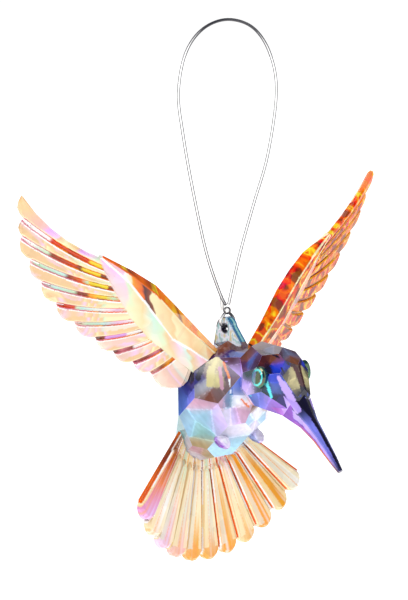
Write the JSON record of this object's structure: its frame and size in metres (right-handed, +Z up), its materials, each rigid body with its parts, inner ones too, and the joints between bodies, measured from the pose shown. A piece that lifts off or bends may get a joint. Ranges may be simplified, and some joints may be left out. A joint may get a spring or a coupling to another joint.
{
  "type": "hanging bird ornament",
  "caption": "Faceted translucent hummingbird in flight with ribbed wings and a fanned tail, hung from a loop of clear cord.",
  "frame": {"origin": "inside top of the cord loop, where a hook holds it", "axes": "+Z up, -Y the way the bird flies, +X to the bird's left"},
  "size_m": [0.1604, 0.0702, 0.1767],
  "materials": {
    "tinted_acrylic": "polished, shading from dark violet on the head and back to clear on the belly",
    "amber_acrylic": "polished, iridescent",
    "teal_acrylic": "polished",
    "clear_cord": "clear monofilament"
  },
  "bodies": {
    "loop": {"cord_loop": "clear_cord", "cord_bight": "clear_cord", "cord_knot": "clear_cord", "cord_end": "clear_cord"},
    "bird": {"body": "tinted_acrylic", "left_wing": "amber_acrylic", "right_wing": "amber_acrylic", "tail_fan": "amber_acrylic", "left_eye": "teal_acrylic", "right_eye": "teal_acrylic"}
  },
  "joints": [
    {"name": "bird_swing", "type": "hinge", "parent": "loop", "child": "bird", "pos_m": [0, 0, -0.0983], "axis": [1, 0, 0], "range_deg": [-60, 60]}
  ]
}
